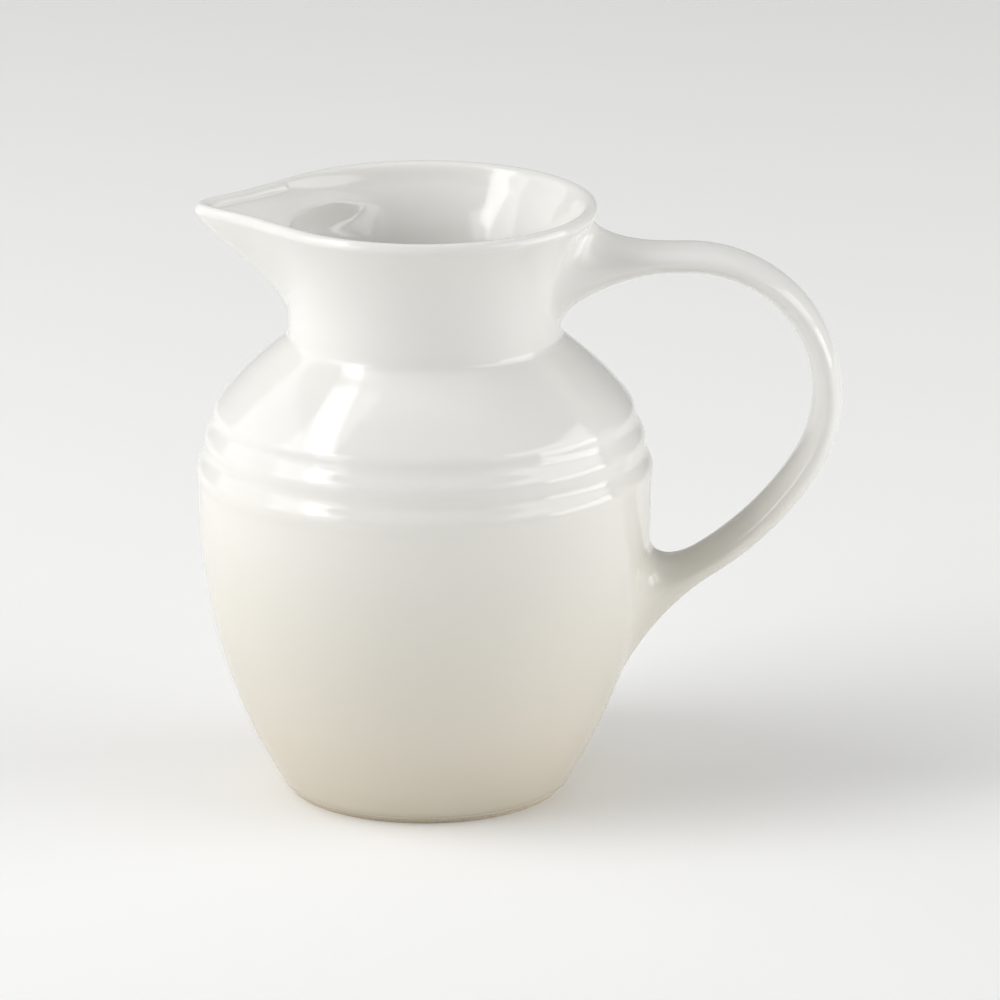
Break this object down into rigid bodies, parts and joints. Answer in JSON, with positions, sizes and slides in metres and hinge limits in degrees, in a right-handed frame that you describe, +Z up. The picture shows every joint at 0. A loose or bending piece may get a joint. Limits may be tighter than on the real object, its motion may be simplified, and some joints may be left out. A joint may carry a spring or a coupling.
{
  "type": "ceramic pitcher",
  "caption": "Round-bellied glazed stoneware milk jug with grooves turned round its shoulder, a flared neck with a pulled pouring spout, and a strap loop handle.",
  "frame": {"origin": "on the jug's axis, in the plane of the table that it stands on", "axes": "+Z up along the axis, -X towards the spout's tip, +X towards the handle"},
  "size_m": [0.1436, 0.1012, 0.1345],
  "materials": {
    "bare_stoneware": "matte",
    "cream_glaze": "gloss",
    "white_glaze": "gloss"
  },
  "bodies": {
    "root": {"foot_ring": "bare_stoneware", "body": "cream_glaze", "neck": "white_glaze", "handle": "white_glaze", "upper_handle_joint": "white_glaze", "lower_handle_joint": "cream_glaze"}
  },
  "joints": []
}
